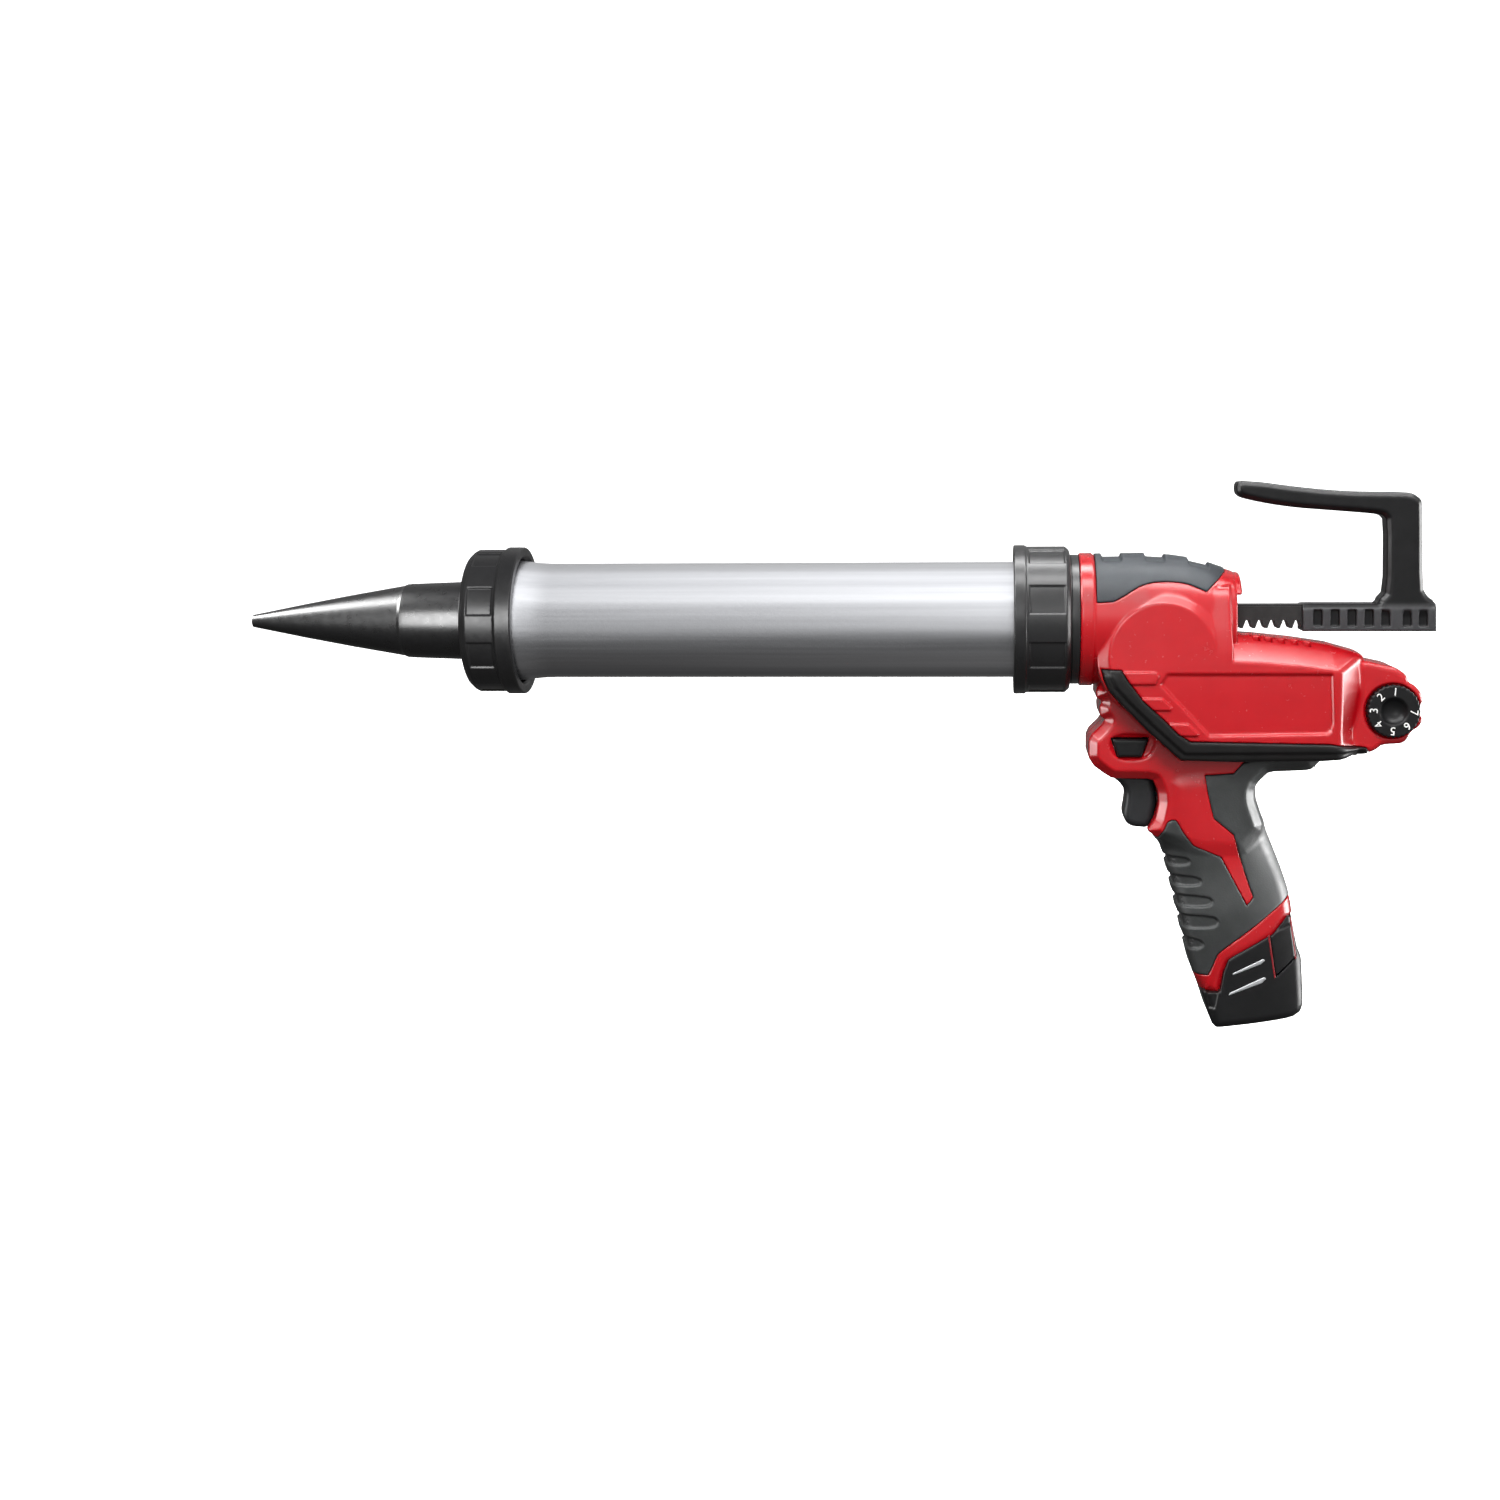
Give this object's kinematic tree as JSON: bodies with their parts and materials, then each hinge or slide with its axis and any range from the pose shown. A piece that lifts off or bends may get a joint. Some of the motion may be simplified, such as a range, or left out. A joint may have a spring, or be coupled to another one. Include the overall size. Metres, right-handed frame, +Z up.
{
  "type": "cordless caulking tool",
  "caption": "Battery powered caulking tool: metal barrel with cone nozzle, rack plunger with pull hook, pistol handle, trigger, speed dial and slide-in battery.",
  "frame": {"origin": "middle of the bounding box, on its lowest plane, below the barrel", "axes": "+Z up, nozzle points along -X, speed dial on the -Y side"},
  "size_m": [0.562, 0.0698, 0.2571],
  "materials": {
    "red_plastic": "moulded satin red",
    "grey_pad": "soft grey overmould",
    "black_soft": "soft black overmould",
    "grip_soft": "fine textured rubber",
    "black_plastic": "satin black moulding",
    "trigger_plastic": "dark grey moulding",
    "tube_metal": "drawn and anodised",
    "rack_metal": "black oxide",
    "seal_rubber": "seal rubber",
    "piston_metal": "turned",
    "board_plastic": "electrical moulding",
    "cell_metal": "plated sheet",
    "bush_brass": "sintered",
    "steel": "machined"
  },
  "bodies": {
    "body": {"barrel_mount": "black_plastic", "bumper_left": "black_soft", "bumper_right": "black_soft", "control_board": "board_plastic", "dial_sensor": "board_plastic", "gear_plate_left": "steel", "gear_plate_right": "steel", "grip_rubber_left": "grip_soft", "grip_rubber_right": "grip_soft", "housing_left": "red_plastic", "housing_right": "red_plastic", "housing_screws": "steel", "motor_bushes": "bush_brass", "motor_can": "cell_metal", "motor_end_cap": "steel", "motor_magnets": "steel", "rack_guide": "black_plastic", "ring_gear": "steel", "shaft_bearings": "steel", "switch_module": "board_plastic", "terminal_block": "board_plastic", "top_pad": "grey_pad", "trigger_spring": "steel"},
    "trigger": {"trigger": "trigger_plastic"},
    "lock_button": {"lock_button": "black_plastic"},
    "speed_dial": {"speed_dial": "black_plastic", "dial_spindle": "steel"},
    "rack": {"rack": "rack_metal", "pull_handle": "black_plastic", "piston": "piston_metal", "piston_seal": "seal_rubber", "piston_screw": "steel", "handle_pins": "steel"},
    "pinion": {"rack_pinion": "steel", "main_shaft": "steel", "clutch_sleeve": "steel"},
    "clutch_gear": {"clutch_gear": "steel"},
    "countershaft": {"countershaft": "steel", "counter_pinion": "steel", "bevel_gear": "steel"},
    "carrier": {"planet_carrier": "steel", "bevel_pinion": "steel"},
    "planet_a": {"planet_gear_a": "steel"},
    "planet_b": {"planet_gear_b": "steel"},
    "planet_c": {"planet_gear_c": "steel"},
    "rotor": {"motor_shaft": "steel", "armature": "steel", "sun_gear": "steel"},
    "barrel": {"barrel_tube": "tube_metal"},
    "collar": {"rear_collar": "black_plastic"},
    "nozzle": {"nozzle": "black_plastic", "nozzle_gasket": "seal_rubber"},
    "nut": {"front_nut": "black_plastic"},
    "battery": {"battery_case": "black_plastic", "battery_cells": "cell_metal", "battery_terminals": "board_plastic"},
    "latch_left": {"battery_latch_left": "black_plastic"},
    "latch_right": {"battery_latch_right": "black_plastic"}
  },
  "joints": [
    {"name": "trigger_pull", "type": "slide", "parent": "body", "child": "trigger", "axis": [1, 0, 0], "range_m": [0, 0.006], "stiffness_N_per_m": 500, "deforming": ["trigger_spring"]},
    {"name": "lock_push", "type": "slide", "parent": "body", "child": "lock_button", "axis": [0, 1, 0], "range_m": [0, 0.004]},
    {"name": "dial_turn", "type": "hinge", "parent": "body", "child": "speed_dial", "pos_m": [0.255, 0, 0.151], "axis": [0, -1, 0], "range_deg": [-135, 135]},
    {"name": "rack_slide", "type": "slide", "parent": "body", "child": "rack", "axis": [1, 0, 0], "range_m": [-0.031, 0.205]},
    {"name": "pinion_spin", "type": "hinge", "parent": "body", "child": "pinion", "pos_m": [0.151, 0, 0.17522], "axis": [0, 1, 0], "range_deg": [-130, 820]},
    {"name": "rotor_spin", "type": "hinge", "parent": "body", "child": "rotor", "pos_m": [0.21, 0, 0.156], "axis": [1, 0, 0], "continuous": true},
    {"name": "carrier_spin", "type": "hinge", "parent": "body", "child": "carrier", "pos_m": [0.185, 0, 0.156], "axis": [1, 0, 0], "continuous": true},
    {"name": "planet_a_spin", "type": "hinge", "parent": "carrier", "child": "planet_a", "pos_m": [0.19, 0, 0.16575], "axis": [1, 0, 0], "continuous": true},
    {"name": "planet_b_spin", "type": "hinge", "parent": "carrier", "child": "planet_b", "pos_m": [0.19, -0.00844, 0.15113], "axis": [1, 0, 0], "continuous": true},
    {"name": "planet_c_spin", "type": "hinge", "parent": "carrier", "child": "planet_c", "pos_m": [0.19, 0.00844, 0.15113], "axis": [1, 0, 0], "continuous": true},
    {"name": "countershaft_spin", "type": "hinge", "parent": "body", "child": "countershaft", "pos_m": [0.16888, 0, 0.156], "axis": [0, 1, 0], "continuous": true},
    {"name": "clutch_gear_spin", "type": "hinge", "parent": "body", "child": "clutch_gear", "pos_m": [0.151, 0, 0.17522], "axis": [0, 1, 0], "continuous": true},
    {"name": "barrel_off", "type": "slide", "parent": "body", "child": "barrel", "axis": [-1, 0, 0], "range_m": [0, 0.016]},
    {"name": "collar_turn", "type": "hinge", "parent": "barrel", "child": "collar", "pos_m": [0.095, 0, 0.192], "axis": [-1, 0, 0], "range_deg": [0, 1440]},
    {"name": "nozzle_off", "type": "slide", "parent": "barrel", "child": "nozzle", "axis": [-1, 0, 0], "range_m": [0, 0.016]},
    {"name": "nut_turn", "type": "hinge", "parent": "nozzle", "child": "nut", "pos_m": [-0.16, 0, 0.192], "axis": [-1, 0, 0], "range_deg": [0, 1440]},
    {"name": "battery_slide", "type": "slide", "parent": "body", "child": "battery", "axis": [0.2756, 0, -0.9613], "range_m": [0, 0.07]},
    {"name": "latch_left_press", "type": "slide", "parent": "battery", "child": "latch_left", "axis": [0, 1, 0], "range_m": [0, 0.002], "stiffness_N_per_m": 900},
    {"name": "latch_right_press", "type": "slide", "parent": "battery", "child": "latch_right", "axis": [0, -1, 0], "range_m": [0, 0.002], "stiffness_N_per_m": 900}
  ],
  "couplings": [
    {"joint": "pinion_spin", "follows": "rack_slide", "rad_per_m": 69.444},
    {"joint": "carrier_spin", "follows": "rotor_spin", "ratio": 0.2},
    {"joint": "planet_a_spin", "follows": "rotor_spin", "ratio": -0.53333},
    {"joint": "planet_b_spin", "follows": "rotor_spin", "ratio": -0.53333},
    {"joint": "planet_c_spin", "follows": "rotor_spin", "ratio": -0.53333},
    {"joint": "countershaft_spin", "follows": "rotor_spin", "ratio": 0.14},
    {"joint": "clutch_gear_spin", "follows": "rotor_spin", "ratio": -0.056},
    {"joint": "collar_turn", "follows": "barrel_off", "rad_per_m": 1570.6},
    {"joint": "nut_turn", "follows": "nozzle_off", "rad_per_m": 1570.6}
  ]
}
